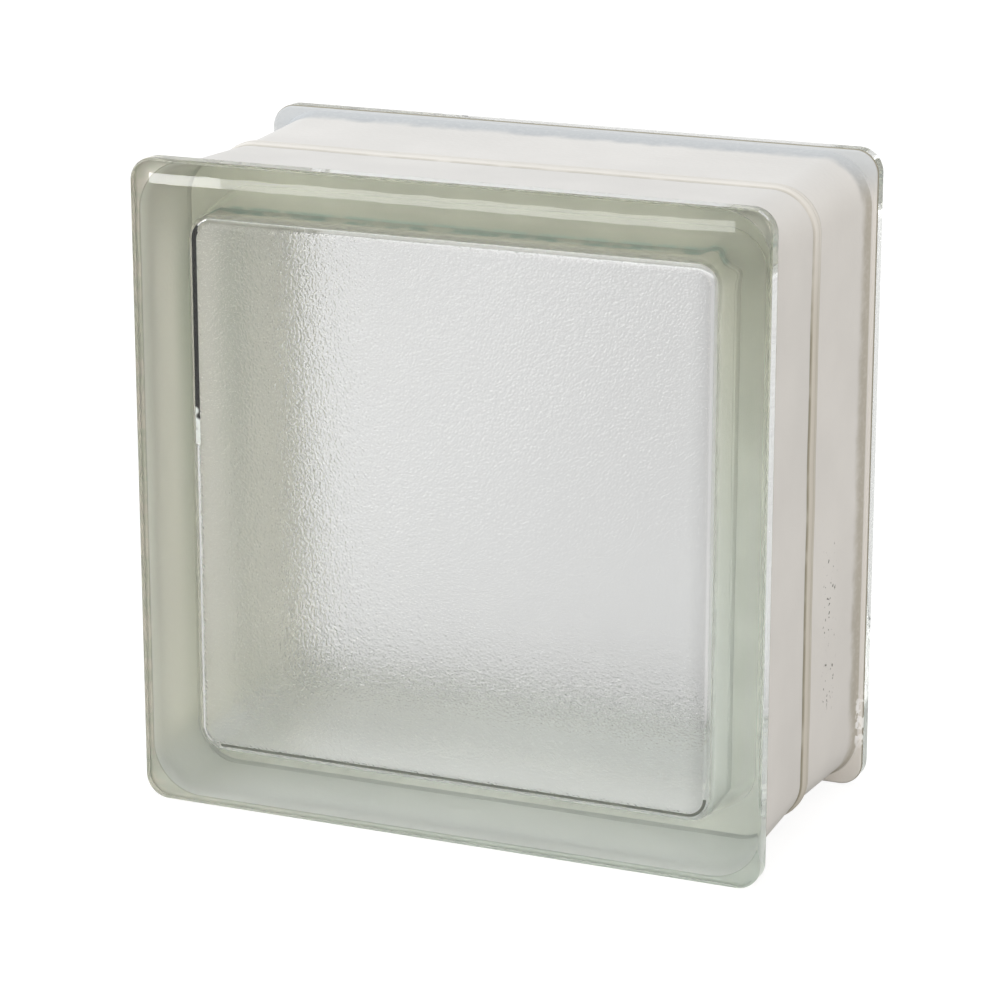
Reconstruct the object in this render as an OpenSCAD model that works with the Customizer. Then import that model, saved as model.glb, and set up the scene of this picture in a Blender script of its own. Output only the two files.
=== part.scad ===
// Hollow glass block: two pressed halves fused at mid depth into one sealed body.
// The block stands on its bottom edge: front face towards -Y, +Z up, origin under its centre.

/* [Block] */
// Width across the front face
block_w = 190; // [140:1:240]
// Height of the front face
block_h = 190; // [140:1:240]
// Depth from the front face to the rear face
block_d = 95; // [80:1:120]

/* [Face plates] */
// Thickness of the flange that each face plate carries round its edge
flange_t = 5.5; // [4:0.5:8]
// Corner radius of the flange, seen from the front
flange_corner = 7; // [4:0.5:10]
// Rounding of the flange's edges
flange_round = 0.8; // [0.4:0.1:1.5]
// Thickness of the pane in front of the cavity
pane_t = 6; // [5:0.5:10]

/* [Mortar channel] */
// Corner radius of the channel floor, measured at the flange's outer line
channel_corner = 16; // [14:0.5:22]
// Step from the flange's edge down to the cove
channel_lip = 1; // [0.3:0.1:1.2]
// Depth that the cove drops below the lip
cove_drop = 1.4; // [1:0.1:2.5]
// Length of the cove along the block's depth
cove_length = 6.5; // [4:0.5:10]
// Further depth that the draft adds from the cove to the seam
draft_drop = 1.4; // [0.8:0.1:2.5]

/* [Seam] */
// Width of the bead where the halves are fused
seam_w = 6.5; // [4:0.5:8]
// Height of the bead over the channel floor
seam_h = 1.1; // [0.5:0.1:1.4]

/* [Cavity] */
// Thickness of the side wall at the seam
wall_seam_t = 8; // [6:0.5:11]
// Inward draft of the cavity's side from the seam to the pane
cavity_draft = 4.2; // [2:0.1:6]
// Corner radius of the cavity at the pane
cavity_corner = 7; // [5:0.5:9]
// Rounding between the pane and the cavity's side
cavity_round = 4; // [1.5:0.1:5]

/* [Hidden] */
$fn = 96;
glass_colour = [0.84, 0.88, 0.83, 0.45];

// Depth measured from the seam plane to the flange's inner face
flange_level = block_d / 2 - flange_t;
// How far the channel's core runs into the flange
core_overlap = flange_t / 2;

// Radii of the channel's corner section, from the lip to the seam
lip_radius = channel_corner - channel_lip;
cove_radius = lip_radius - cove_drop;
floor_radius = cove_radius - draft_drop;
cove_arc = (cove_drop * cove_drop + cove_length * cove_length) / (2 * cove_drop);
seam_arc = (seam_w * seam_w / 4 + seam_h * seam_h) / (2 * seam_h);

// Cavity: its half depth, and its corner section from the seam to the pane
cavity_level = block_d / 2 - pane_t;
seam_recess = channel_lip + cove_drop + draft_drop;
cavity_w = block_w - 2 * (seam_recess + wall_seam_t);
cavity_h = block_h - 2 * (seam_recess + wall_seam_t);
cavity_seam_corner = cavity_corner + cavity_draft;
draft_angle = atan(cavity_draft / cavity_level);
round_centre = [
    cavity_corner + cavity_round * (tan(draft_angle) - 1 / cos(draft_angle)),
    cavity_level - cavity_round
];
round_start = round_centre + cavity_round * [cos(draft_angle), sin(draft_angle)];

// Sweeps a flat section round a rounded rectangle in the XY plane.
// The section's x runs outward from the corner's axis, and its y runs along Z.
module sweep_round(w, h, corner) {
    for (side = [0:3]) {
        along = side % 2 == 0 ? h : w;
        across = side % 2 == 0 ? w : h;
        rotate([0, 0, 90 * side])
            translate([across / 2 - corner, along / 2 - corner, 0]) {
                rotate_extrude(angle = 90) children();
                rotate([90, 0, 0])
                    linear_extrude(along - 2 * corner) children();
            }
    }
}

// Section of a flange's edge, with both of its edges rounded
module flange_section() {
    inner_w = flange_corner - flange_round;
    square([inner_w, flange_t]);
    translate([0, flange_round])
        square([flange_corner, flange_t - 2 * flange_round]);
    for (level = [flange_round, flange_t - flange_round])
        translate([inner_w, level])
            circle(flange_round);
}

// Flange with its plate, rising from z = 0
module flange() {
    sweep_round(block_w, block_h, flange_corner)
        flange_section();
    translate([flange_corner - block_w / 2, flange_corner - block_h / 2, 0])
        cube([block_w - 2 * flange_corner, block_h - 2 * flange_corner, flange_t]);
}

// Half of the channel's section: seam at y = 0, cove and lip towards the flange
module channel_half_section() {
    cove_start = flange_level - cove_length;
    difference() {
        polygon([
            [0, 0],
            [floor_radius, 0],
            [cove_radius, cove_start],
            [lip_radius, flange_level],
            [lip_radius, flange_level + core_overlap],
            [0, flange_level + core_overlap]
        ]);
        translate([cove_radius + cove_arc, cove_start])
            circle(cove_arc);
    }
}

// Whole section of the channel, with the bead of the seam
module channel_section() {
    channel_half_section();
    mirror([0, 1])
        channel_half_section();
    translate([floor_radius + seam_h - seam_arc, 0])
        circle(seam_arc);
}

// Body between the two flanges
module core() {
    reach = flange_level + core_overlap;
    sweep_round(block_w, block_h, channel_corner)
        channel_section();
    translate([channel_corner - block_w / 2, channel_corner - block_h / 2, -reach])
        cube([block_w - 2 * channel_corner, block_h - 2 * channel_corner, 2 * reach]);
}

// Half of the cavity's section, drafted from the seam to the rounding at the pane
module cavity_half_section() {
    polygon([
        [0, 0],
        [cavity_seam_corner, 0],
        round_start,
        [round_centre[0], cavity_level],
        [0, cavity_level]
    ]);
    intersection() {
        translate(round_centre)
            circle(cavity_round);
        square([cavity_seam_corner, cavity_level]);
    }
}

// Sealed space inside the block
module cavity() {
    axis_w = cavity_w - 2 * cavity_seam_corner;
    axis_h = cavity_h - 2 * cavity_seam_corner;
    sweep_round(cavity_w, cavity_h, cavity_seam_corner) {
        cavity_half_section();
        mirror([0, 1])
            cavity_half_section();
    }
    translate([-axis_w / 2, -axis_h / 2, -cavity_level])
        cube([axis_w, axis_h, 2 * cavity_level]);
}

// The fused block, standing on its bottom edge
module glass_block() {
    color(glass_colour)
        translate([0, 0, block_h / 2])
            rotate([90, 0, 0])
                difference() {
                    union() {
                        core();
                        translate([0, 0, block_d / 2 - flange_t])
                            flange();
                        translate([0, 0, -block_d / 2])
                            flange();
                    }
                    cavity();
                }
}

glass_block();
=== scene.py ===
from collections import namedtuple
from math import atan, cos, pi, radians, sin, sqrt, tan

import bmesh
import bpy
from bpy.props import FloatProperty, FloatVectorProperty, IntProperty, PointerProperty
from bpy.types import Operator, Panel, PropertyGroup
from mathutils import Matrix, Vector


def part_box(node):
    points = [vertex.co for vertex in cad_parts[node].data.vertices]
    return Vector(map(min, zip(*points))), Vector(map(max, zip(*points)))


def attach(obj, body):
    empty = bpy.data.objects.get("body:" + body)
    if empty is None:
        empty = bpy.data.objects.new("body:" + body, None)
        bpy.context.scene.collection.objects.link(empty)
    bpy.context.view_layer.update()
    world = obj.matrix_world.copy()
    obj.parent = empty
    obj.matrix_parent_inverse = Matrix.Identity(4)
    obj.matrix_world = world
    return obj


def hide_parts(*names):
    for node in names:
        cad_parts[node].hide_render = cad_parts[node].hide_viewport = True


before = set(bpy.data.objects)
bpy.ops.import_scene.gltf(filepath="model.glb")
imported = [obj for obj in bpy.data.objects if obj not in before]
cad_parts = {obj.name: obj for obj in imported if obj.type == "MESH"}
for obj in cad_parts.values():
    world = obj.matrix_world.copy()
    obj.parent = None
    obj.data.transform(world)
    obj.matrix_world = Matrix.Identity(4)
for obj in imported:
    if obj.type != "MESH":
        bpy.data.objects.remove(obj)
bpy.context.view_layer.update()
LOW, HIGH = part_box("glass_block")

bl_info = {
    "name": "Hollow Glass Block",
    "version": (1, 0, 0),
    "blender": (4, 5, 0),
    "location": "View3D > Sidebar > Glass Block",
    "description": "Models a hollow glass block with satin panes and a white coated channel",
    "category": "Object",
}

SIZE = HIGH - LOW
CENTRE = (LOW + HIGH) / 2
MM = 0.001

# A point counts as lying on a plane within this distance
ON_PLANE = 1e-6
# Flat outlines that are to be joined lie this far apart, so that their faces don't twist
STEP = 0.02 * MM
# Segments of an outline between two cuts across a flat end
CAP_STEP = 5
# The floor lies this far below the block
FLOOR_GAP = 0.3 * MM
# Thickness of the fused sheet, and its distances from the bead and the cavity
SHEET_T = 0.1 * MM
SHEET_OUTER_GAP = 0.4 * MM
SHEET_INNER_GAP = 0.01 * MM
# Painted dark reflection at the left of the front pane: shares of the rounding's turn, and heights over the
# centre
DARK_TURN = (0.743, 0.97)
DARK_HEIGHT = (13 * MM, 76 * MM)
# Painted reflection of the shade under the block, at the bottom of the front pane: shares of the turn, and
# how far in its ends lie
LOW_TURN = (0.83, 0.93)
LOW_INSET = 23 * MM

WHITE = (1, 1, 1)

# A closed outline round the block: its inset from the block's outer faces, its corner radius and its depth
Ring = namedtuple("Ring", "inset corner level")


class BlockShape(PropertyGroup):
    """Sizes of the glass body, apart from its outer box, which is read from the glass_block part in
    model.glb
    """

    flange_t: FloatProperty(
        name="Flange thickness", description="Thickness of the flange round each face",
        default=5.5 * MM, unit="LENGTH")
    flange_corner: FloatProperty(
        name="Flange corner", description="Corner radius of the flange, seen from the front",
        default=7 * MM, unit="LENGTH")
    flange_round: FloatProperty(
        name="Flange edge rounding", description="Rounding of the flange's edges",
        default=0.8 * MM, unit="LENGTH")
    pane_t: FloatProperty(
        name="Pane thickness", description="Thickness of the pane in front of the cavity",
        default=6 * MM, unit="LENGTH")
    channel_corner: FloatProperty(
        name="Channel corner", description="Corner radius of the channel at the flange's outer line",
        default=16 * MM, unit="LENGTH")
    channel_lip: FloatProperty(
        name="Channel lip", description="Step from the flange's edge down to the cove",
        default=1 * MM, unit="LENGTH")
    cove_drop: FloatProperty(
        name="Cove drop", description="Depth that the cove drops below the lip",
        default=1.4 * MM, unit="LENGTH")
    cove_length: FloatProperty(
        name="Cove length", description="Length of the cove along the block's depth",
        default=6.5 * MM, unit="LENGTH")
    draft_drop: FloatProperty(
        name="Draft drop", description="Further depth that the draft adds from the cove to the seam",
        default=1.4 * MM, unit="LENGTH")
    seam_w: FloatProperty(
        name="Seam width", description="Width of the fused bead", default=6.5 * MM, unit="LENGTH")
    seam_h: FloatProperty(
        name="Seam height", description="Height of the bead over the channel's floor",
        default=1.1 * MM, unit="LENGTH")
    seam_crease: FloatProperty(
        name="Seam crease", description="Depth of the crease along the middle of the bead",
        default=0.35 * MM, unit="LENGTH")
    seam_wander: FloatProperty(
        name="Seam wander", description="How far the bead strays from the middle plane",
        default=1.6 * MM, unit="LENGTH")
    wall_seam_t: FloatProperty(
        name="Wall at the seam", description="Thickness of the side wall at the seam",
        default=8 * MM, unit="LENGTH")
    cavity_draft: FloatProperty(
        name="Cavity draft", description="Inward draft of the cavity's side from the seam to the pane",
        default=4.2 * MM, unit="LENGTH")
    cavity_corner: FloatProperty(
        name="Cavity corner", description="Corner radius of the cavity at the pane",
        default=7 * MM, unit="LENGTH")
    cavity_round: FloatProperty(
        name="Cavity rounding", description="Rounding between the pane and the cavity's side",
        default=4 * MM, unit="LENGTH")
    corner_steps: IntProperty(
        name="Corner steps", description="Segments in each rounded corner", default=14, min=3)
    side_cuts: IntProperty(
        name="Side cuts", description="Cuts along each straight side", default=50, min=1)
    round_steps: IntProperty(
        name="Rounding steps", description="Segments across each small rounding", default=6, min=2)


class BlockFinish(PropertyGroup):
    """Colours and textures of the glass and its coat"""

    tint: FloatVectorProperty(
        name="Glass tint", description="Colour that light keeps on its way through the glass",
        default=(0.38, 0.42, 0.29), size=3, subtype="COLOR", min=0, max=1)
    tint_density: FloatProperty(
        name="Tint density", description="Strength of the tint for each metre of glass", default=7.0)
    satin: FloatProperty(
        name="Satin", description="Roughness of the satin pane faces",
        default=0.1, min=0, max=1, subtype="FACTOR")
    haze: FloatVectorProperty(
        name="Haze", description="Colour that light keeps through the satin faces",
        default=(0.93, 0.93, 0.93), size=3, subtype="COLOR", min=0, max=1)
    grain: FloatProperty(
        name="Grain", description="Size of the satin's grain", default=0.75 * MM, unit="LENGTH")
    # Painted shade along the front pane's right edge
    painted_edge_shade: FloatVectorProperty(
        name="Edge haze", description="Haze along the right edge of the front pane",
        default=(0.66, 0.66, 0.66), size=3, subtype="COLOR", min=0, max=1)
    coat: FloatVectorProperty(
        name="Coat", description="Colour of the coat in the channel",
        default=(0.80, 0.785, 0.76), size=3, subtype="COLOR", min=0, max=1)
    # Painted light: the coat's back, seen through the glass, is brighter than the coat outside
    backing: FloatVectorProperty(
        name="Coat backing", description="Colour of the coat where it is seen through the glass",
        default=(0.90, 0.895, 0.82), size=3, subtype="COLOR", min=0, max=1)
    # Painted light: the coat's back is lighter and bluer low down and at the right
    painted_low_light: FloatVectorProperty(
        name="Low coat backing",
        description="Colour of the coat through the glass, low down and at the right",
        default=(0.93, 0.96, 0.95), size=3, subtype="COLOR", min=0, max=1)
    # Painted shade: the coat's back is darker at the left
    painted_left_shade: FloatVectorProperty(
        name="Left coat backing", description="Colour of the coat through the glass at the left",
        default=(0.83, 0.82, 0.76), size=3, subtype="COLOR", min=0, max=1)
    # Painted shade: the coat's back is darker at the bottom
    painted_base_shade: FloatVectorProperty(
        name="Bottom coat backing", description="Colour of the coat through the glass at the bottom",
        default=(0.80, 0.825, 0.82), size=3, subtype="COLOR", min=0, max=1)
    # Painted shade: a darker band round the seam at the left
    fused: FloatVectorProperty(
        name="Fused band", description="Colour of the fused band round the seam, seen through the glass",
        default=(0.63, 0.655, 0.58), size=3, subtype="COLOR", min=0, max=1)
    # Painted light: the coves' coat seen through the glass is brighter than from outside
    cove_backing: FloatVectorProperty(
        name="Cove backing", description="Colour of the coat in the coves, seen through the glass",
        default=(0.88, 0.885, 0.82), size=3, subtype="COLOR", min=0, max=1)
    # Painted shade on the fused joint, high up and at the left
    sheet: FloatVectorProperty(
        name="Fused sheet",
        description="Colour of the fused joint inside the wall, high up and at the left",
        default=(0.735, 0.745, 0.68), size=3, subtype="COLOR", min=0, max=1)
    # Painted light on the fused joint, low down at the right
    painted_lit_sheet: FloatVectorProperty(
        name="Low fused sheet",
        description="Colour of the fused joint inside the wall, low down at the right",
        default=(0.96, 0.975, 0.95), size=3, subtype="COLOR", min=0, max=1)
    # Painted reflection of the shade under the block, in the rounding at the pane's bottom edge
    painted_low_reflection: FloatVectorProperty(
        name="Low edge", description="Colour of the dark line in the rounding at the pane's bottom edge",
        default=(0.16, 0.17, 0.145), size=3, subtype="COLOR", min=0, max=1)
    # Painted reflection: black in the rounding at the pane's left edge, where the glass would show a dark
    # surround
    painted_dark_reflection: FloatVectorProperty(
        name="Dark edge", description="Colour of the dark line in the rounding at the pane's left edge",
        default=(0.006, 0.006, 0.005), size=3, subtype="COLOR", min=0, max=1)
    cove: FloatVectorProperty(
        name="Cove", description="Colour of the thin coat in the coves at the sides",
        default=(0.50, 0.475, 0.42), size=3, subtype="COLOR", min=0, max=1)
    cove_top: FloatVectorProperty(
        name="Top cove", description="Colour of the thin coat in the coves on top",
        default=(0.53, 0.55, 0.565), size=3, subtype="COLOR", min=0, max=1)
    # Painted shade: the coat behind the flange, seen through the glass, is given a dark olive
    painted_flange_shade: FloatVectorProperty(
        name="Thin backing",
        description="Colour of the thin coat behind the flange, seen through the glass",
        default=(0.52, 0.535, 0.455), size=3, subtype="COLOR", min=0, max=1)
    # Ripples within the painted shade behind the flange
    ripple: FloatVectorProperty(
        name="Ripple", description="Colour of the ripples in the thin coat behind the flange",
        default=(0.60, 0.575, 0.51), size=3, subtype="COLOR", min=0, max=1)
    streak: FloatVectorProperty(
        name="Streak", description="Colour of the patches that the top cove shows through the glass",
        default=(0.58, 0.70, 0.66), size=3, subtype="COLOR", min=0, max=1)
    seam: FloatVectorProperty(
        name="Seam", description="Colour of the bead where the coat is thin",
        default=(0.62, 0.59, 0.53), size=3, subtype="COLOR", min=0, max=1)
    grime: FloatVectorProperty(
        name="Grime", description="Colour of the dirt beside the seam",
        default=(0.33, 0.31, 0.25), size=3, subtype="COLOR", min=0, max=1)
    speck: FloatVectorProperty(
        name="Speck", description="Colour of the small marks on the coat",
        default=(0.10, 0.095, 0.08), size=3, subtype="COLOR", min=0, max=1)


class StageSetup(PropertyGroup):
    """Camera, lamps and floor"""

    azimuth: FloatProperty(
        name="Azimuth", description="Camera's turn to the right of the front face",
        default=radians(23.32), subtype="ANGLE")
    elevation: FloatProperty(
        name="Elevation", description="Camera's height angle", default=radians(16.21), subtype="ANGLE")
    distance: FloatProperty(
        name="Distance", description="From the aimed point to the camera", default=1.0856, unit="LENGTH")
    aim_right: FloatProperty(
        name="Aim right", description="Aimed point's offset across the view",
        default=-2.5 * MM, unit="LENGTH")
    aim_up: FloatProperty(
        name="Aim up", description="Aimed point's offset up the view", default=-6.4 * MM, unit="LENGTH")
    lens: FloatProperty(
        name="Lens", description="Focal length in millimetres on a 36 mm sensor", default=135.96)
    surround: FloatProperty(
        name="Surround", description="Strength of the light from all round", default=0.5)
    top_power: FloatProperty(
        name="Top lamp", description="Power of the overhead soft box", default=5.2, unit="POWER")
    side_power: FloatProperty(
        name="Right lamp", description="Power of the soft box at the front right",
        default=10.3, unit="POWER")
    left_power: FloatProperty(
        name="Left lamp", description="Power of the soft box at the front left", default=13.0, unit="POWER")
    strip_power: FloatProperty(
        name="Strip lamp", description="Power of the strip light in front", default=0.014, unit="POWER")


# Outlines of the glass body

def flange_reach(shape):
    """Distance from the seam plane to the flange's inner face"""
    return SIZE.y / 2 - shape.flange_t


def cove_reach(shape):
    """Distance from the seam plane to where the cove begins"""
    return flange_reach(shape) - shape.cove_length


def floor_inset(shape):
    """Depth of the channel's floor below the flange, at the seam"""
    return shape.channel_lip + shape.cove_drop + shape.draft_drop


def flange_rings(shape):
    """Outlines of the front flange, from its face to its inner face"""
    face = LOW.y
    inner = face + shape.flange_t
    r = shape.flange_round
    turns = [pi / 2 * step / shape.round_steps for step in range(shape.round_steps + 1)]
    outer_edge = [(r * (1 - sin(a)), face + r * (1 - cos(a))) for a in turns]
    inner_edge = [(r * (1 - cos(a)), inner - r * (1 - sin(a))) for a in turns]
    return [Ring(inset, shape.flange_corner - inset, level) for inset, level in outer_edge + inner_edge]


def channel_inset(shape, reach):
    """Depth of the channel below the flange at a distance from the seam"""
    cove_arc = (shape.cove_drop ** 2 + shape.cove_length ** 2) / (2 * shape.cove_drop)
    cove_start = cove_reach(shape)
    cove_floor = shape.channel_lip + shape.cove_drop
    if reach > cove_start:
        rise = reach - cove_start
        return cove_floor - (cove_arc - sqrt(cove_arc ** 2 - rise ** 2))
    wall = cove_floor + shape.draft_drop * (1 - reach / cove_start)
    if reach >= shape.seam_w / 2:
        return wall
    seam_arc = (shape.seam_w ** 2 / 4 + shape.seam_h ** 2) / (2 * shape.seam_h)
    bead = floor_inset(shape) - shape.seam_h + seam_arc - sqrt(seam_arc ** 2 - reach ** 2)
    crease_half = shape.seam_w / 10
    if reach < crease_half:
        bead += shape.seam_crease * (1 - reach / crease_half)
    return min(wall, bead)


def channel_rings(shape):
    """Outlines of the front half of the channel, from the lip to the seam"""
    flange_level = flange_reach(shape)
    cove_start = cove_reach(shape)
    steps = shape.round_steps
    cove = [flange_level - STEP]
    cove += [flange_level - shape.cove_length * k / steps for k in range(1, steps + 1)]
    wall = [cove_start * share for share in (0.97, 0.6, 0.35, 0.22, 0.14)]
    bead = [shape.seam_w / 2 * 1.15 * (1 - k / (2 * steps)) for k in range(2 * steps + 1)]
    return [
        Ring(channel_inset(shape, reach), shape.channel_corner - channel_inset(shape, reach), -reach)
        for reach in cove + wall + bead
    ]


def cavity_rings(shape):
    """Outlines of the front half of the cavity, from the pane to the seam"""
    half_depth = SIZE.y / 2 - shape.pane_t
    seam_inset = floor_inset(shape) + shape.wall_seam_t
    seam_corner = shape.cavity_corner + shape.cavity_draft
    draft = atan(shape.cavity_draft / half_depth)
    r = shape.cavity_round
    turn_radius = shape.cavity_corner + r * (tan(draft) - 1 / cos(draft))
    turn_level = half_depth - r
    steps = 2 * shape.round_steps
    rings = []
    for k in range(steps + 1):
        a = pi / 2 - (pi / 2 - draft) * k / steps
        corner = turn_radius + r * cos(a)
        rings.append(Ring(seam_inset + seam_corner - corner, corner, -(turn_level + r * sin(a))))
    for share in (0.9, 0.5, 0.0):
        corner = seam_corner - shape.cavity_draft * share
        rings.append(Ring(seam_inset + seam_corner - corner, corner, -half_depth * share))
    return rings


def mirrored(rings):
    """The rings and their mirror images behind the seam"""
    rear = [ring._replace(level=-ring.level) for ring in reversed(rings) if abs(ring.level) > ON_PLANE]
    return rings + rear


# Modelling steps

def clear_selection():
    """Leaves object mode with nothing selected"""
    if bpy.context.object and bpy.context.object.mode != "OBJECT":
        bpy.ops.object.mode_set(mode="OBJECT")
    bpy.ops.object.select_all(action="DESELECT")


def select_edges(mesh, wanted):
    """Selects the edges in edit mode that pass a test"""
    bm = bmesh.from_edit_mesh(mesh)
    bm.verts.index_update()
    for edge in bm.edges:
        edge.select_set(False)
    for edge in bm.edges:
        if wanted(edge):
            edge.select_set(True)
    bmesh.update_edit_mesh(mesh)


def add_ring(mesh, ring, shape):
    """Adds one rounded outline to the mesh in edit mode"""
    first = len(bmesh.from_edit_mesh(mesh).verts)
    half_w = SIZE.x / 2 - ring.inset
    half_h = SIZE.z / 2 - ring.inset
    place = (CENTRE.x, CENTRE.y + ring.level, CENTRE.z)
    bpy.ops.mesh.select_all(action="DESELECT")
    bpy.ops.mesh.primitive_plane_add(size=2, location=place, rotation=(pi / 2, 0, 0))
    bpy.ops.transform.resize(value=(half_w, 1, half_h), center_override=place)
    bpy.ops.mesh.bevel(affect="VERTICES", offset=ring.corner, segments=shape.corner_steps)
    bpy.ops.mesh.delete(type="ONLY_FACE")
    select_edges(mesh, lambda edge: edge.verts[0].index >= first and edge.calc_length() > half_w)
    bpy.ops.mesh.subdivide(number_cuts=shape.side_cuts)
    return first


def cut_cap(mesh, ring, shape):
    """Cuts a flat end into a grid, through points that its outline already has"""
    bpy.ops.mesh.select_mode(type="FACE")
    level = CENTRE.y + ring.level
    span = SIZE.x / 2 - ring.inset - ring.corner
    pieces = shape.side_cuts + 1
    for step in range(CAP_STEP, pieces, CAP_STEP):
        place = span * (2 * step / pieces - 1)
        for normal in ((1, 0, 0), (0, 0, 1)):
            bm = bmesh.from_edit_mesh(mesh)
            for face in bm.faces:
                face.select_set(all(abs(v.co.y - level) < ON_PLANE for v in face.verts))
            bmesh.update_edit_mesh(mesh)
            bpy.ops.mesh.bisect(plane_co=CENTRE + Vector(normal) * place, plane_no=normal)
    bpy.ops.mesh.select_mode(type="EDGE")


def joins_ring(edge, before, here):
    """True for an edge that runs along one of the last two outlines"""
    a, b = (v.index for v in edge.verts)
    if a < before or b < before:
        return False
    return (a >= here) == (b >= here)


def loft(name, rings, shape, capped=True):
    """Joins outlines into one shell, with flat ends if it is to be closed"""
    clear_selection()
    bpy.ops.mesh.primitive_plane_add(size=1)
    shell = bpy.context.object
    shell.name = name
    shell.data.name = name
    bpy.ops.object.mode_set(mode="EDIT")
    bpy.ops.mesh.delete(type="VERT")
    bpy.ops.mesh.select_mode(type="EDGE")
    starts = []
    for ring in rings:
        starts.append(add_ring(shell.data, ring, shape))
        if len(starts) > 1:
            before, here = starts[-2:]
            select_edges(shell.data, lambda edge: joins_ring(edge, before, here))
            bpy.ops.mesh.bridge_edge_loops()
    count = starts[1]
    ends = (0, -1) if capped else ()
    for end in ends:
        start = starts[end]
        select_edges(shell.data, lambda edge: all(start <= v.index < start + count for v in edge.verts))
        bpy.ops.mesh.edge_face_add()
        cut_cap(shell.data, rings[end], shape)
    bpy.ops.mesh.select_all(action="SELECT")
    bpy.ops.mesh.normals_make_consistent(inside=False)
    bpy.ops.object.mode_set(mode="OBJECT")
    return shell


def paint_faces(shell, slot, wanted):
    """Gives the faces that pass a test the material in a slot"""
    bpy.ops.object.mode_set(mode="EDIT")
    bpy.ops.mesh.select_mode(type="FACE")
    bm = bmesh.from_edit_mesh(shell.data)
    for face in bm.faces:
        face.select_set(wanted(face))
    bmesh.update_edit_mesh(shell.data)
    shell.active_material_index = slot
    bpy.ops.object.material_slot_assign()
    bpy.ops.object.mode_set(mode="OBJECT")


def keep_reach(shell):
    """Keeps each point's signed distance from the seam plane, which the coat's pattern follows"""
    reach = shell.data.attributes.new("reach", "FLOAT", "POINT")
    for vertex, entry in zip(shell.data.vertices, reach.data):
        entry.value = vertex.co.y - CENTRE.y


def sway(shell, name, reach, direction, strength, swell):
    """Moves a band round the seam a little out of true, as in a pressed and fused piece"""
    group = shell.vertex_groups.new(name=name)
    for vertex in shell.data.vertices:
        weight = 1 - (abs(vertex.co.y - CENTRE.y) / reach) ** 2
        if weight > 0:
            group.add([vertex.index], weight, "REPLACE")
    clouds = bpy.data.textures.new(name, "CLOUDS")
    clouds.noise_scale = swell
    clouds.noise_depth = 1
    move = shell.modifiers.new(name, "DISPLACE")
    move.vertex_group = name
    move.texture = clouds
    move.texture_coords = "LOCAL"
    move.direction = direction
    move.strength = strength
    bpy.ops.object.modifier_apply(modifier=name)


def smooth_shell(shell):
    """Smooth rounds between flat faces that stay flat"""
    bpy.ops.object.shade_smooth_by_angle(angle=radians(40))
    shell.modifiers.new("flat faces", "WEIGHTED_NORMAL").keep_sharp = True
    bpy.ops.object.modifier_apply(modifier="flat faces")


# Materials

def new_material(name):
    """A material with its Principled shader, its nodes and its object coordinates"""
    material = bpy.data.materials.new(name)
    material.use_nodes = True
    nodes = material.node_tree.nodes
    links = material.node_tree.links
    coords = nodes.new("ShaderNodeTexCoord")
    shader = nodes["Principled BSDF"]
    return material, nodes, links, coords.outputs["Object"], shader


def feed(links, socket, value):
    """Sets a socket to a number or links it to another socket"""
    if isinstance(value, bpy.types.NodeSocket):
        links.new(value, socket)
    elif value is not None:
        socket.default_value = value


def math_node(nodes, links, operation, a, b=None):
    """A maths node fed by sockets or numbers"""
    node = nodes.new("ShaderNodeMath")
    node.operation = operation
    feed(links, node.inputs[0], a)
    feed(links, node.inputs[1], b)
    return node.outputs[0]


def ramp_node(nodes, links, value, low, high, start=0.0, end=1.0):
    """A smooth step of a value between two limits"""
    node = nodes.new("ShaderNodeMapRange")
    node.interpolation_type = "SMOOTHSTEP"
    feed(links, node.inputs["Value"], value)
    feed(links, node.inputs["From Min"], low)
    feed(links, node.inputs["From Max"], high)
    feed(links, node.inputs["To Min"], start)
    feed(links, node.inputs["To Max"], end)
    return node.outputs["Result"]


def mix_node(nodes, links, factor, a, b):
    """A blend of two colours, given as sockets or as three numbers"""
    node = nodes.new("ShaderNodeMix")
    node.data_type = "RGBA"
    feed(links, node.inputs["Factor"], factor)
    for name, colour in (("A", a), ("B", b)):
        plain = not isinstance(colour, bpy.types.NodeSocket)
        feed(links, node.inputs[name], (*colour, 1) if plain else colour)
    return node.outputs["Result"]


def product(nodes, links, *masks):
    """All masks multiplied"""
    result = masks[0]
    for mask in masks[1:]:
        result = math_node(nodes, links, "MULTIPLY", result, mask)
    return result


def band(nodes, links, value, start, end, soft):
    """One between two limits, with soft ends"""
    rise = ramp_node(nodes, links, value, start - soft, start + soft)
    fall = ramp_node(nodes, links, value, end - soft, end + soft, 1.0, 0.0)
    return product(nodes, links, rise, fall)


def scaled(colour, factor):
    """A colour made lighter or darker"""
    return [channel * factor for channel in colour]


def grey(value):
    """A neutral colour"""
    return (value, value, value)


def patch_group():
    """Node group: irregular patches as a mask, where a noise of a given grain passes between two limits"""
    if "patches" in bpy.data.node_groups:
        return bpy.data.node_groups["patches"]
    group = bpy.data.node_groups.new("patches", "ShaderNodeTree")
    for name, kind in (
            ("Vector", "NodeSocketVector"), ("Scale", "NodeSocketFloat"), ("Detail", "NodeSocketFloat"),
            ("Low", "NodeSocketFloat"), ("High", "NodeSocketFloat")):
        group.interface.new_socket(name, in_out="INPUT", socket_type=kind)
    group.interface.new_socket("Mask", in_out="OUTPUT", socket_type="NodeSocketFloat")
    nodes, links = group.nodes, group.links
    given = nodes.new("NodeGroupInput").outputs
    noise = nodes.new("ShaderNodeTexNoise")
    for name in ("Vector", "Scale", "Detail"):
        links.new(given[name], noise.inputs[name])
    mask = ramp_node(nodes, links, noise.outputs["Fac"], given["Low"], given["High"])
    links.new(mask, nodes.new("NodeGroupOutput").inputs["Mask"])
    return group


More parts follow.
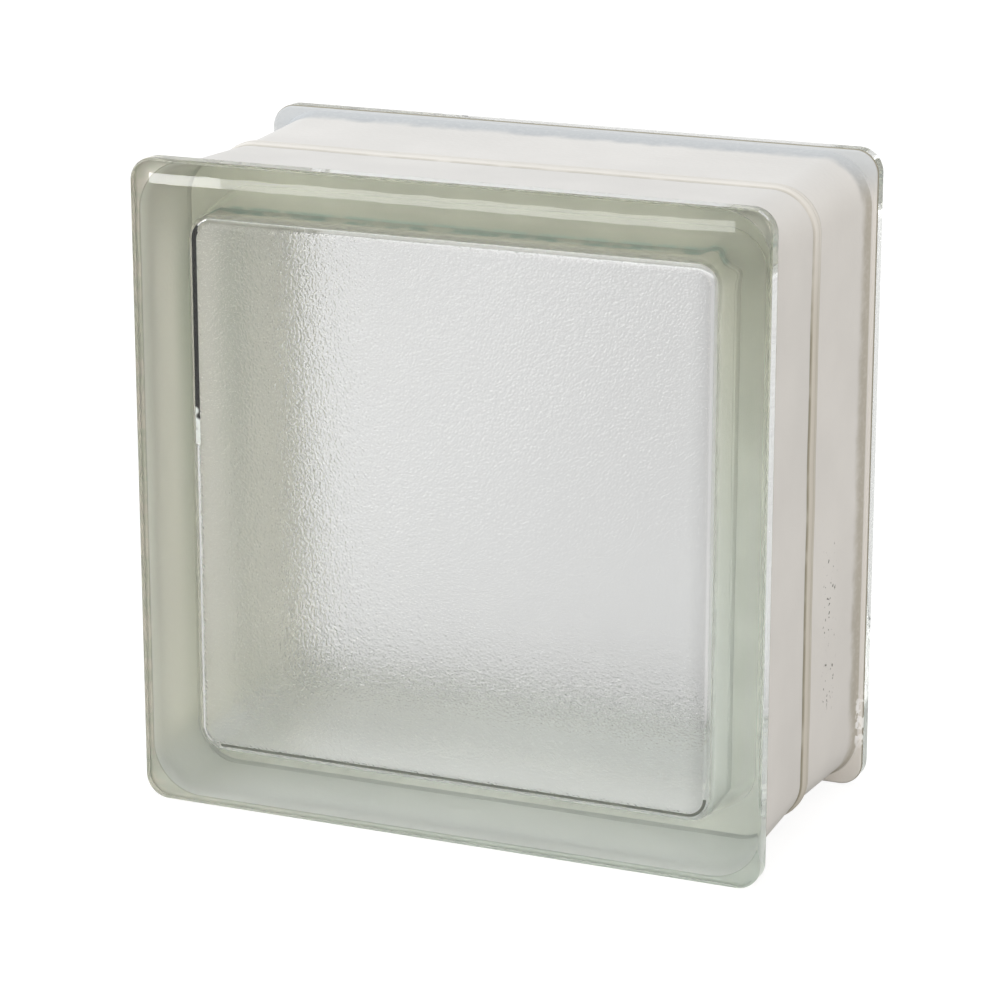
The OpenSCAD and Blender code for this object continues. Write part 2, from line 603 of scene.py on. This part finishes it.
def patches(nodes, links, coords, grain, low, high, detail=2.0):
    """Irregular patches of a grain size in metres"""
    node = nodes.new("ShaderNodeGroup")
    node.node_tree = patch_group()
    feed(links, node.inputs["Vector"], coords)
    feed(links, node.inputs["Scale"], 1 / grain)
    feed(links, node.inputs["Detail"], detail)
    feed(links, node.inputs["Low"], low)
    feed(links, node.inputs["High"], high)
    return node.outputs["Mask"]


def axes(nodes, links, coords, names):
    """The named axes of a place, in metres"""
    split = nodes.new("ShaderNodeSeparateXYZ")
    links.new(coords, split.inputs[0])
    return [split.outputs[name] for name in names]


def bump_node(nodes, links, height, distance, strength=1.0, under=None):
    """A bump of a height in metres, over another one if given"""
    bump = nodes.new("ShaderNodeBump")
    feed(links, bump.inputs["Strength"], strength)
    bump.inputs["Distance"].default_value = distance
    feed(links, bump.inputs["Height"], height)
    feed(links, bump.inputs["Normal"], under)
    return bump.outputs["Normal"]


def satin_mask(nodes, links, coords, shape):
    """One on the cavity's two pane faces and nought on all other glass"""
    x, y, z = axes(nodes, links, coords, "XYZ")
    across = math_node(nodes, links, "ABSOLUTE", x)
    up = math_node(nodes, links, "ABSOLUTE", math_node(nodes, links, "SUBTRACT", z, CENTRE.z))
    reach = math_node(nodes, links, "MAXIMUM", across, up)
    depth = math_node(nodes, links, "ABSOLUTE", y)
    pane = SIZE.y / 2 - shape.pane_t
    half = SIZE.x / 2
    inside = ramp_node(nodes, links, reach, half - 18.5 * MM, half - 17.5 * MM, 1.0, 0.0)
    behind = ramp_node(nodes, links, depth, pane - 0.5 * MM, pane - 0.1 * MM)
    front = ramp_node(nodes, links, depth, pane + 2 * MM, pane + 3 * MM, 1.0, 0.0)
    return product(nodes, links, behind, front, inside)


def glass_material(shape, finish):
    """Pale green glass, satin on the inner faces of the panes, with painted shade along the front pane's
    right edge
    """
    material, nodes, links, coords, shader = new_material("pale_green_glass")
    shader.inputs["Transmission Weight"].default_value = 1.0
    shader.inputs["IOR"].default_value = 1.52
    satin = satin_mask(nodes, links, coords, shape)
    x, y = axes(nodes, links, coords, "XY")
    # Painted shade: the satin lets less light through along the front pane's right edge
    edge_shade_mask = product(
        nodes, links, ramp_node(nodes, links, x, 70.5 * MM, 77.5 * MM),
        ramp_node(nodes, links, y, -1 * MM, 1 * MM, 1.0, 0.0))
    haze = mix_node(nodes, links, edge_shade_mask, finish.haze, finish.painted_edge_shade)
    pane = mix_node(nodes, links, satin, WHITE, haze)
    links.new(pane, shader.inputs["Base Color"])
    links.new(math_node(nodes, links, "MULTIPLY", satin, finish.satin), shader.inputs["Roughness"])
    grain = patches(nodes, links, coords, finish.grain, 0.2, 0.8, 1.0)
    swell = patches(nodes, links, coords, 45 * MM, 0.2, 0.8, 0.0)
    waves = bump_node(nodes, links, swell, 0.02 * MM)
    pitted = bump_node(nodes, links, grain, 0.09 * MM, satin, waves)
    links.new(pitted, shader.inputs["Normal"])
    tint = nodes.new("ShaderNodeVolumeAbsorption")
    tint.inputs["Color"].default_value = (*finish.tint, 1)
    tint.inputs["Density"].default_value = finish.tint_density
    links.new(tint.outputs["Volume"], nodes["Material Output"].inputs["Volume"])
    return material


def coat_outside(nodes, links, coords, reach, shape, finish):
    """Colour of the coat from outside: even on the walls, thin in the coves, grimy along the seam"""
    x, z = axes(nodes, links, coords, "XZ")
    depth = math_node(nodes, links, "ABSOLUTE", reach)
    flange_level = flange_reach(shape)
    cove_start = cove_reach(shape)
    right = ramp_node(nodes, links, x, 0.0, 10 * MM)

    mottle = patches(nodes, links, coords, 25 * MM, 0.2, 0.8, 2.0)
    colour = mix_node(nodes, links, mottle, scaled(finish.coat, 0.97), scaled(finish.coat, 1.03))

    high = ramp_node(nodes, links, z, HIGH.z - 16 * MM, HIGH.z - 4 * MM)
    thin = mix_node(nodes, links, high, finish.cove, finish.cove_top)
    powder = patches(nodes, links, coords, 1.2 * MM, 0.45, 0.75, 1.0)
    thin = mix_node(nodes, links, product(nodes, links, powder, 0.12), thin, grey(0.88))
    ragged = product(nodes, links, patches(nodes, links, coords, 7 * MM, 0.0, 1.0, 2.0), 3 * MM)
    edge = math_node(nodes, links, "ADD", depth, ragged)
    in_cove = ramp_node(nodes, links, edge, cove_start + 0.5 * MM, cove_start + 5.5 * MM)
    colour = mix_node(nodes, links, in_cove, colour, thin)
    lip = ramp_node(nodes, links, depth, flange_level - 1.0 * MM, flange_level - 0.6 * MM)
    pale = mix_node(nodes, links, high, scaled(finish.coat, 0.92), finish.cove_top)
    colour = mix_node(nodes, links, lip, colour, pale)
    rim_line = ramp_node(nodes, links, depth, flange_level + 0.15 * MM, flange_level + 0.35 * MM)
    colour = mix_node(nodes, links, rim_line, colour, finish.grime)
    flakes = patches(nodes, links, coords, 2 * MM, 0.46, 0.52, 2.0)
    rear_low = product(
        nodes, links, right, flakes, band(nodes, links, z, 13 * MM, 28 * MM, 3 * MM),
        ramp_node(nodes, links, reach, flange_level - 2.2 * MM, flange_level - 1.4 * MM))
    colour = mix_node(nodes, links, rear_low, colour, grey(0.9))

    half = shape.seam_w / 2
    low = ramp_node(nodes, links, z, HIGH.z - 45 * MM, HIGH.z - 12 * MM, 1.0, 0.4)
    bead = ramp_node(nodes, links, depth, half * 0.9, half * 1.2, 1.0, 0.0)
    colour = mix_node(nodes, links, product(nodes, links, bead, low), colour, finish.seam)
    lines = band(nodes, links, depth, half * 0.78, half * 1.1, 0.3 * MM)
    crease = ramp_node(nodes, links, depth, 0.15 * MM, 0.6 * MM, 0.35, 0.0)
    smear = patches(nodes, links, coords, 9 * MM, 0.1, 0.55, 1.0)
    dirt = product(nodes, links, math_node(nodes, links, "MAXIMUM", lines, crease), low, smear)
    colour = mix_node(nodes, links, dirt, colour, finish.grime)

    marks = patches(nodes, links, coords, 1.5 * MM, 0.64, 0.69, 2.0)
    place = product(
        nodes, links, marks, right, band(nodes, links, reach, 13 * MM, 22 * MM, 2 * MM),
        band(nodes, links, z, 34 * MM, 80 * MM, 6 * MM))
    return mix_node(nodes, links, place, colour, finish.speck)


def coat_inside(nodes, links, coords, reach, shape, finish):
    """Colour of the coat seen through the glass, with painted light and shade: lighter low down at the
    right, darker at the left and at the bottom, a painted shade rippled behind the flange, patchy at the
    top
    """
    x, z = axes(nodes, links, coords, "XZ")
    depth = math_node(nodes, links, "ABSOLUTE", reach)
    flange_level = flange_reach(shape)
    cove_start = cove_reach(shape)
    # Painted light: lighter and bluer low down at the right, warmer higher up at the left
    lean = math_node(nodes, links, "SUBTRACT", z, product(nodes, links, x, 0.7))
    painted_light_ramp = ramp_node(nodes, links, lean, -20 * MM, 120 * MM)
    colour = mix_node(nodes, links, painted_light_ramp, finish.painted_low_light, finish.backing)
    # Painted shade: darker at the left, more so higher up
    left = product(
        nodes, links, ramp_node(nodes, links, x, -88 * MM, -70 * MM, 1.0, 0.0),
        ramp_node(nodes, links, reach, 0.0, 14 * MM, 1.0, 0.0),
        ramp_node(nodes, links, z, 15 * MM, 65 * MM, 0.3, 1.0))
    colour = mix_node(nodes, links, left, colour, finish.painted_left_shade)
    # Painted shade: a darker band round the seam at the left, strongest in the upper part
    fused = product(
        nodes, links, left, ramp_node(nodes, links, depth, 4 * MM, 20 * MM, 1.0, 0.0),
        ramp_node(nodes, links, z, 60 * MM, 140 * MM, 0.4, 1.0),
        ramp_node(nodes, links, z, 150 * MM, 174 * MM, 1.0, 0.2))
    colour = mix_node(nodes, links, fused, colour, finish.fused)
    # Painted shade: darker at the bottom, mostly towards the front
    base = product(
        nodes, links, ramp_node(nodes, links, z, 6 * MM, 20 * MM, 1.0, 0.0),
        ramp_node(nodes, links, reach, 5 * MM, 25 * MM, 1.0, 0.2))
    colour = mix_node(nodes, links, base, colour, finish.painted_base_shade)
    # Darker still along the middle of the seam at the bottom
    fold = product(nodes, links, base, ramp_node(nodes, links, depth, 0.3 * MM, 0.9 * MM, 1.0, 0.0))
    colour = mix_node(nodes, links, fold, colour, scaled(finish.painted_base_shade, 0.85))
    # Painted light: the coves' coat seen through the glass is far brighter than from outside, and takes the
    # bottom's painted shade low down
    cove = mix_node(nodes, links, base, finish.cove_backing, finish.painted_base_shade)
    in_cove = ramp_node(nodes, links, depth, cove_start, flange_level - 1.0 * MM)
    colour = mix_node(nodes, links, in_cove, colour, cove)

    squeeze = nodes.new("ShaderNodeVectorMath")
    squeeze.operation = "MULTIPLY"
    links.new(coords, squeeze.inputs[0])
    squeeze.inputs[1].default_value = (0.7, 0.3, 2.0)
    ripples = patches(nodes, links, squeeze.outputs[0], 8 * MM, 0.4, 0.65, 2.0)
    ripples = product(nodes, links, ripples, painted_light_ramp)
    # Painted shade behind the flange: a dark olive in place of the long paths through the glass, bluer low
    # down at the right, rippled
    cool = [c * f for c, f in zip(finish.painted_flange_shade, (0.94, 1.0, 1.08))]
    thin = mix_node(nodes, links, painted_light_ramp, cool, finish.painted_flange_shade)
    thin = mix_node(nodes, links, ripples, thin, finish.ripple)
    # Painted shade, darker still in the top right corner
    corner = product(
        nodes, links, ramp_node(nodes, links, x, 66 * MM, 84 * MM),
        ramp_node(nodes, links, z, 158 * MM, 178 * MM))
    thin = mix_node(nodes, links, corner, thin, scaled(finish.painted_flange_shade, 0.66))
    near = ramp_node(nodes, links, depth, flange_level - 0.8 * MM, flange_level - 0.1 * MM)
    colour = mix_node(nodes, links, near, colour, thin)

    streaks = product(
        nodes, links, patches(nodes, links, coords, 6 * MM, 0.35, 0.6, 2.0),
        ramp_node(nodes, links, depth, 1.0 * MM, 3.5 * MM, 1.0, 0.0),
        ramp_node(nodes, links, z, HIGH.z - 12 * MM, HIGH.z - 6 * MM))
    return mix_node(nodes, links, streaks, colour, finish.streak)


def coat_material(shape, finish):
    """White coat in the channel, with one colour outside and a brighter copy seen through the glass, which
    is painted light
    """
    material, nodes, links, coords, shader = new_material("white_coat")
    kept = nodes.new("ShaderNodeAttribute")
    kept.attribute_name = "reach"
    reach = kept.outputs["Fac"]
    outside = coat_outside(nodes, links, coords, reach, shape, finish)
    inside = coat_inside(nodes, links, coords, reach, shape, finish)
    # Backfaces, seen from inside the glass, take the brighter colours: painted light
    behind = nodes.new("ShaderNodeNewGeometry").outputs["Backfacing"]
    links.new(mix_node(nodes, links, behind, outside, inside), shader.inputs["Base Color"])
    shader.inputs["Roughness"].default_value = 0.6
    shader.inputs["Specular IOR Level"].default_value = 0.0
    fine = patches(nodes, links, coords, 1.5 * MM, 0.0, 1.0, 0.0)
    links.new(bump_node(nodes, links, fine, 0.1 * MM, 0.4), shader.inputs["Normal"])
    return material


def sheet_material(finish):
    """Dull joint inside the wall, with painted light and shade: light low down at the right and at the top
    left, darker high up; teal streaks along its outer edge
    """
    material, nodes, links, coords, shader = new_material("fused_sheet")
    x, z = axes(nodes, links, coords, "XZ")
    # Painted light and shade: light low down at the right, darker higher up, light again at the top left
    # corner
    lean = math_node(nodes, links, "SUBTRACT", z, product(nodes, links, x, 0.7))
    high = ramp_node(nodes, links, lean, 20 * MM, 110 * MM)
    colour = mix_node(nodes, links, high, finish.painted_lit_sheet, finish.sheet)
    painted_light_top_left = ramp_node(nodes, links, lean, 195 * MM, 240 * MM)
    colour = mix_node(nodes, links, painted_light_top_left, colour, scaled(finish.sheet, 1.25))
    mottle = patches(nodes, links, coords, 15 * MM, 0.3, 0.7, 1.0)
    mottle = product(nodes, links, mottle, 0.2)
    colour = mix_node(nodes, links, mottle, colour, scaled(finish.sheet, 0.7))
    streaks = product(
        nodes, links, patches(nodes, links, coords, 6 * MM, 0.3, 0.55, 2.0),
        ramp_node(nodes, links, z, HIGH.z - 5.4 * MM, HIGH.z - 4.6 * MM))
    links.new(mix_node(nodes, links, streaks, colour, finish.streak), shader.inputs["Base Color"])
    shader.inputs["Roughness"].default_value = 0.8
    shader.inputs["Specular IOR Level"].default_value = 0.0
    return material


def fused_sheet(shape, finish):
    """Thin opaque sheet inside the wall, where the two halves are fused; its colours carry painted light
    and shade
    """
    outer = floor_inset(shape) + SHEET_OUTER_GAP
    inner = floor_inset(shape) + shape.wall_seam_t - SHEET_INNER_GAP
    rings = [
        Ring(outer, shape.channel_corner - outer, -STEP),
        Ring(inner, shape.cavity_corner + shape.cavity_draft + SHEET_INNER_GAP, STEP),
    ]
    sheet = loft("fused_sheet", rings, shape, capped=False)
    thick = sheet.modifiers.new("thickness", "SOLIDIFY")
    thick.thickness = SHEET_T
    thick.offset = 0
    bpy.ops.object.modifier_apply(modifier="thickness")
    sheet.data.materials.append(sheet_material(finish))


def line_material(name, colour, streak, broken=None):
    """Plain dull colour with faint streaks, broken up by another colour at its lower end if one is given;
    it carries the painted reflections in the pane's roundings and the painted shade under the rear flange
    """
    material, nodes, links, coords, shader = new_material(name)
    streaks = patches(nodes, links, coords, 4 * MM, 0.3, 0.7, 1.0)
    line = mix_node(nodes, links, streaks, colour, scaled(colour, streak))
    if broken is not None:
        height = axes(nodes, links, coords, "Z")[0]
        limit = ramp_node(nodes, links, height, CENTRE.z + 12 * MM, CENTRE.z + 32 * MM, 0.3, 0.8)
        gaps = patches(nodes, links, coords, 5 * MM, limit, math_node(nodes, links, "ADD", limit, 0.1), 1.0)
        line = mix_node(nodes, links, gaps, line, broken)
    links.new(line, shader.inputs["Base Color"])
    shader.inputs["Roughness"].default_value = 0.8
    shader.inputs["Specular IOR Level"].default_value = 0.0
    return material


def turn_share(place, shape):
    """How far a place on the front pane's rounding has turned towards the pane, from nought to one"""
    turn_level = SIZE.y / 2 - shape.pane_t - shape.cavity_round
    return (-place.y - turn_level) / shape.cavity_round


def in_dark_line(face, shape):
    """True for the upper part of the rounding at the left of the front pane, which carries the painted dark
    reflection
    """
    place = face.calc_center_median() - CENTRE
    rise = turn_share(place, shape)
    turned = DARK_TURN[0] < rise < DARK_TURN[1]
    return turned and place.x < -SIZE.x * 0.4 and DARK_HEIGHT[0] < place.z < DARK_HEIGHT[1]


def in_low_line(face, shape):
    """True for a narrow part of the rounding at the bottom of the front pane, up to its right corner, which
    carries the painted reflection of the shade under the block
    """
    place = face.calc_center_median() - CENTRE
    rise = turn_share(place, shape)
    inner = SIZE.x / 2 - LOW_INSET
    return LOW_TURN[0] < rise < LOW_TURN[1] and place.z < -inner and place.x > -inner


def in_foot(face, shape):
    """True for the underside of the rear flange, which gets a painted shade in place of its glints"""
    place = face.calc_center_median() - CENTRE
    inner = flange_reach(shape) + shape.flange_round
    return place.y > inner and place.z < -SIZE.z / 2 + 0.6 * MM


class GLASSBLOCK_OT_body(Operator):
    """Models the hollow glass body with its coated channel"""

    bl_idname = "glass_block.body"
    bl_label = "Glass Body"

    def execute(self, context):
        shape = context.scene.block_shape
        finish = context.scene.block_finish
        glass = glass_material(shape, finish)
        coat = coat_material(shape, finish)
        outer = loft("block_body", mirrored(flange_rings(shape) + channel_rings(shape)), shape)
        outer.data.materials.append(glass)
        outer.data.materials.append(coat)
        # Opaque pale colour on the rear flange's underside: painted shade in place of the glints that the
        # clear glass would show there
        outer.data.materials.append(line_material("painted_foot_shade", finish.painted_low_light, 1.05))
        coat_level = flange_reach(shape) + shape.flange_round
        paint_faces(outer, 1, lambda face: abs(face.calc_center_median().y - CENTRE.y) < coat_level)
        paint_faces(outer, 2, lambda face: in_foot(face, shape))
        keep_reach(outer)
        sway(outer, "seam_wander", 3 * shape.seam_w, "Y", shape.seam_wander, 30 * MM)
        sway(outer, "wall_wave", cove_reach(shape), "NORMAL", 0.4 * MM, 40 * MM)
        cavity = loft("block_cavity", mirrored(cavity_rings(shape)), shape)
        cavity.data.materials.append(glass)
        # Painted reflections in the rounding round the front pane: black at the left, broken up by a pale
        # colour lower down, and dark along the bottom
        painted_dark_reflection = line_material("painted_dark_reflection", finish.painted_dark_reflection, 3, finish.painted_low_light)
        cavity.data.materials.append(painted_dark_reflection)
        cavity.data.materials.append(line_material("painted_low_reflection", finish.painted_low_reflection, 1.3))
        paint_faces(cavity, 1, lambda face: in_dark_line(face, shape))
        paint_faces(cavity, 2, lambda face: in_low_line(face, shape))
        bpy.ops.object.mode_set(mode="EDIT")
        bpy.ops.mesh.select_all(action="SELECT")
        bpy.ops.mesh.flip_normals()
        bpy.ops.object.mode_set(mode="OBJECT")
        fused_sheet(shape, finish)
        cavity.select_set(True)
        outer.select_set(True)
        context.view_layer.objects.active = outer
        bpy.ops.object.join()
        smooth_shell(outer)
        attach(outer, "root")
        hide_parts("glass_block")
        return {"FINISHED"}


# Stage

def add_camera(setup):
    """Camera at the photograph's viewing angle"""
    turn, lift = setup.azimuth, setup.elevation
    back = Vector((sin(turn) * cos(lift), -cos(turn) * cos(lift), sin(lift)))
    right = Vector((cos(turn), sin(turn), 0))
    up = back.cross(right)
    aim = CENTRE + right * setup.aim_right + up * setup.aim_up
    facing = (-back).to_track_quat("-Z", "Y").to_euler()
    bpy.ops.object.camera_add(location=aim + back * setup.distance, rotation=facing)
    camera = bpy.context.object
    camera.data.sensor_width = 36
    camera.data.lens = setup.lens
    bpy.context.scene.camera = camera


def add_lamp(name, place, size, power, colour, aim=CENTRE):
    """Rectangular soft box that faces the block"""
    facing = (Vector(aim) - Vector(place)).to_track_quat("-Z", "Y").to_euler()
    bpy.ops.object.light_add(type="AREA", location=place, rotation=facing)
    lamp = bpy.context.object
    lamp.name = name
    lamp.data.shape = "RECTANGLE"
    lamp.data.size, lamp.data.size_y = size
    lamp.data.energy = power
    lamp.data.color = colour
    lamp.visible_camera = False


def add_surround(setup):
    """White surround that lights the block at a plain level"""
    world = bpy.data.worlds.new("white_surround")
    world.use_nodes = True
    nodes, links = world.node_tree.nodes, world.node_tree.links
    background = nodes["Background"]
    background.inputs["Color"].default_value = (1, 1, 1, 1)
    path = nodes.new("ShaderNodeLightPath").outputs
    seen = math_node(nodes, links, "MAXIMUM", path["Is Camera Ray"], path["Is Glossy Ray"])
    seen = math_node(nodes, links, "MAXIMUM", seen, path["Is Transmission Ray"])
    links.new(ramp_node(nodes, links, seen, 0, 1, setup.surround, 1.0), background.inputs["Strength"])
    bpy.context.scene.world = world


def add_floor():
    """Pale floor: white to the eye, with the block's shadow; for bounced light and for rays through the
    glass it carries painted light and a painted shadow
    """
    bpy.ops.mesh.primitive_plane_add(size=6, location=(0, 0, LOW.z - FLOOR_GAP))
    floor = bpy.context.object
    floor.name = "pale_floor"
    material, nodes, links, coords, shader = new_material("pale_floor")
    path = nodes.new("ShaderNodeLightPath").outputs
    seen = math_node(nodes, links, "MAXIMUM", path["Is Camera Ray"], path["Is Glossy Ray"])
    seen = math_node(nodes, links, "SUBTRACT", seen, path["Is Transmission Ray"])
    cloud = patches(nodes, links, coords, 300 * MM, 0.0, 1.0)
    # Painted light and shade for bounced light and for what the glass shows: lighter far behind at the
    # left, darker far behind at the right, and darker from close behind the block to the front, a painted
    # shadow
    lit = mix_node(nodes, links, cloud, grey(0.74), grey(0.76))
    x, y = axes(nodes, links, coords, "XY")
    across = math_node(nodes, links, "ADD", x, product(nodes, links, y, 0.22))
    fade = ramp_node(nodes, links, across, -0.2, 0.03)
    far = mix_node(nodes, links, fade, grey(0.9), grey(0.64))
    lit = mix_node(nodes, links, ramp_node(nodes, links, y, 0.1, 0.3), lit, far)
    near = ramp_node(nodes, links, y, 0.02, 0.2, 1.0, 0.0)
    lit = mix_node(nodes, links, near, lit, grey(0.58))
    beside = math_node(nodes, links, "SUBTRACT", math_node(nodes, links, "ABSOLUTE", x), SIZE.x / 2)
    before = math_node(nodes, links, "SUBTRACT", math_node(nodes, links, "ABSOLUTE", y), SIZE.y / 2)
    away = math_node(nodes, links, "MAXIMUM", beside, before)
    open_floor = ramp_node(nodes, links, away, 0.1, 0.2)
    shadow = mix_node(nodes, links, open_floor, grey(0.25), grey(0))
    links.new(mix_node(nodes, links, seen, lit, shadow), shader.inputs["Base Color"])
    shader.inputs["Roughness"].default_value = 1.0
    shader.inputs["Specular IOR Level"].default_value = 0.0
    shader.inputs["Emission Color"].default_value = (1, 1, 1, 1)
    through = math_node(nodes, links, "MULTIPLY", path["Is Transmission Ray"], 0.15)
    glow = product(nodes, links, seen, ramp_node(nodes, links, away, 0.1, 0.2, 0.87, 1.1))
    links.new(math_node(nodes, links, "ADD", through, glow), shader.inputs["Emission Strength"])
    floor.data.materials.append(material)


def add_dark_card():
    """Dark card to the left of the view, which draws the glass's edges"""
    bpy.ops.mesh.primitive_plane_add(size=1, location=(-0.46, -0.285, 0.06), rotation=(0, pi / 2, 0))
    card = bpy.context.object
    card.name = "dark_card"
    bpy.ops.transform.resize(value=(1, 0.33, 0.12))
    material, nodes, links, coords, shader = new_material("dark_card")
    shade = patches(nodes, links, coords, 100 * MM, 0.0, 1.0)
    links.new(mix_node(nodes, links, shade, grey(0.01), grey(0.02)), shader.inputs["Base Color"])
    shader.inputs["Roughness"].default_value = 0.9
    card.data.materials.append(material)
    card.visible_camera = False
    card.visible_diffuse = False
    card.visible_shadow = False


class GLASSBLOCK_OT_stage(Operator):
    """Sets up the camera, the soft light and the pale floor"""

    bl_idname = "glass_block.stage"
    bl_label = "Stage"

    def execute(self, context):
        setup = context.scene.stage_setup
        clear_selection()
        add_floor()
        add_dark_card()
        add_surround(setup)
        add_lamp("top_soft_box", (-0.2, -0.3, 1.3), (0.9, 0.9), setup.top_power, (0.92, 0.96, 1.0))
        add_lamp("right_soft_box", (0.9, -1.2, 0.5), (0.9, 0.9), setup.side_power, (1.0, 0.92, 0.82))
        add_lamp("left_soft_box", (-1.15, -0.95, 0.55), (1.4, 0.9), setup.left_power, WHITE)
        for name, place, length, share in (
                ("strip_light", -0.1685, 0.217, 1.0), ("strip_end", -0.2935, 0.033, 0.32)):
            strip = Vector((place, -0.45, 0.0935))
            ahead = strip + Vector((0, 1, 0))
            add_lamp(name, strip, (length, 0.0045), setup.strip_power * share, WHITE, ahead)
        add_camera(setup)
        context.scene.view_settings.view_transform = "Standard"
        context.scene.cycles.max_bounces = 13
        context.scene.cycles.diffuse_bounces = 5
        context.scene.cycles.blur_glossy = 0.0
        context.scene.cycles.glossy_bounces = 8
        context.scene.cycles.transmission_bounces = 12
        return {"FINISHED"}


class GLASSBLOCK_PT_sidebar(Panel):
    """Lists the block's steps and sizes"""

    bl_label = "Glass Block"
    bl_idname = "GLASSBLOCK_PT_sidebar"
    bl_space_type = "VIEW_3D"
    bl_region_type = "UI"
    bl_category = "Glass Block"

    def draw(self, context):
        layout = self.layout
        for operator in OPERATORS:
            layout.operator(operator.bl_idname)
        for settings in (context.scene.block_shape, context.scene.block_finish, context.scene.stage_setup):
            for name in settings.__annotations__:
                layout.prop(settings, name)


OPERATORS = (GLASSBLOCK_OT_body, GLASSBLOCK_OT_stage)
CLASSES = (BlockShape, BlockFinish, StageSetup, *OPERATORS, GLASSBLOCK_PT_sidebar)


def register():
    for cls in CLASSES:
        bpy.utils.register_class(cls)
    bpy.types.Scene.block_shape = PointerProperty(type=BlockShape)
    bpy.types.Scene.block_finish = PointerProperty(type=BlockFinish)
    bpy.types.Scene.stage_setup = PointerProperty(type=StageSetup)


def unregister():
    del bpy.types.Scene.stage_setup
    del bpy.types.Scene.block_finish
    del bpy.types.Scene.block_shape
    for cls in reversed(CLASSES):
        bpy.utils.unregister_class(cls)


def main():
    register()
    bpy.ops.glass_block.body()
    bpy.ops.glass_block.stage()


if __name__ == "__main__":
    main()
